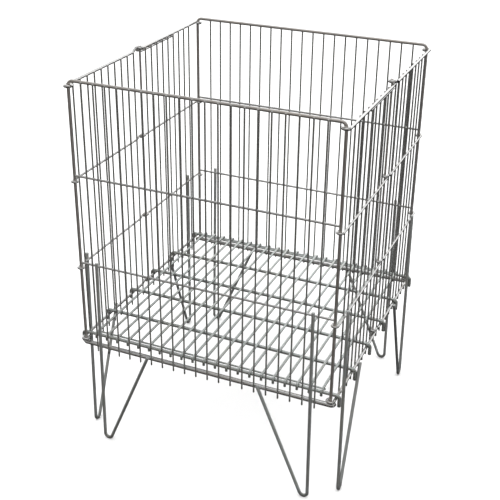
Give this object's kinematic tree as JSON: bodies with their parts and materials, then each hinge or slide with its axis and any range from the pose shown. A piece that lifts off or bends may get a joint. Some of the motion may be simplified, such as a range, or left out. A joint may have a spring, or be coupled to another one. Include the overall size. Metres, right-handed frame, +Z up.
{
  "type": "retail dump bin",
  "caption": "Folding dump bin of plated steel wire: a square open basket on hairpin legs, with centre-hinged side walls and a loose wire floor hooked over their bottom rails.",
  "frame": {"origin": "middle of the bin at the level of the undersides of its feet", "axes": "+Z up, the front wall towards -Y, the centre-hinged side walls towards -X and +X"},
  "size_m": [0.6082, 0.5904, 0.8468],
  "materials": {
    "post_wire": "bright plated steel wire, slightly brushed by drawing",
    "rail_wire": "bright plated steel wire, dulled at the welds",
    "upright_wire": "bright plated thin steel wire",
    "leg_wire": "bright plated steel wire, scuffed at the foot bends",
    "floor_wire": "bright plated steel wire, lightly rubbed on top"
  },
  "bodies": {
    "walls": {"back_bottom_rail": "rail_wire", "back_frame_wire": "post_wire", "back_lower_middle_rail": "rail_wire", "back_upper_middle_rail": "rail_wire", "back_uprights": "upright_wire", "back_wall_left_leg": "leg_wire", "back_wall_right_leg": "leg_wire", "front_bottom_rail": "rail_wire", "front_frame_wire": "post_wire", "front_lower_middle_rail": "rail_wire", "front_upper_middle_rail": "rail_wire", "front_uprights": "upright_wire", "front_wall_left_leg": "leg_wire", "front_wall_right_leg": "leg_wire", "left_back_half_bottom_rail": "rail_wire", "left_back_half_lower_middle_rail": "rail_wire", "left_back_half_top_rail": "rail_wire", "left_back_half_upper_middle_rail": "rail_wire", "left_back_half_uprights": "upright_wire", "left_front_half_bottom_rail": "rail_wire", "left_front_half_lower_middle_rail": "rail_wire", "left_front_half_top_rail": "rail_wire", "left_front_half_upper_middle_rail": "rail_wire", "left_front_half_uprights": "upright_wire", "left_hinge_post": "post_wire", "left_stiffener_bar": "rail_wire", "left_wall_back_leg": "leg_wire", "left_wall_front_leg": "leg_wire", "right_back_half_bottom_rail": "rail_wire", "right_back_half_lower_middle_rail": "rail_wire", "right_back_half_top_rail": "rail_wire", "right_back_half_upper_middle_rail": "rail_wire", "right_back_half_uprights": "upright_wire", "right_front_half_bottom_rail": "rail_wire", "right_front_half_lower_middle_rail": "rail_wire", "right_front_half_top_rail": "rail_wire", "right_front_half_upper_middle_rail": "rail_wire", "right_front_half_uprights": "upright_wire", "right_hinge_post": "post_wire", "right_stiffener_bar": "rail_wire", "right_wall_back_leg": "leg_wire", "right_wall_front_leg": "leg_wire"},
    "floor": {"floor_back_edge_wire": "floor_wire", "floor_cross_bar_1": "floor_wire", "floor_cross_bar_2": "floor_wire", "floor_cross_bar_3": "floor_wire", "floor_cross_bar_4": "floor_wire", "floor_cross_bar_5": "floor_wire", "floor_cross_bar_6": "floor_wire", "floor_front_edge_wire": "floor_wire", "floor_long_wires": "floor_wire"}
  },
  "joints": [
    {"name": "floor_tilt", "type": "hinge", "parent": "walls", "child": "floor", "pos_m": [-0.29195, 0, 0.256], "axis": [0, -1, 0], "range_deg": [0, 43]}
  ]
}
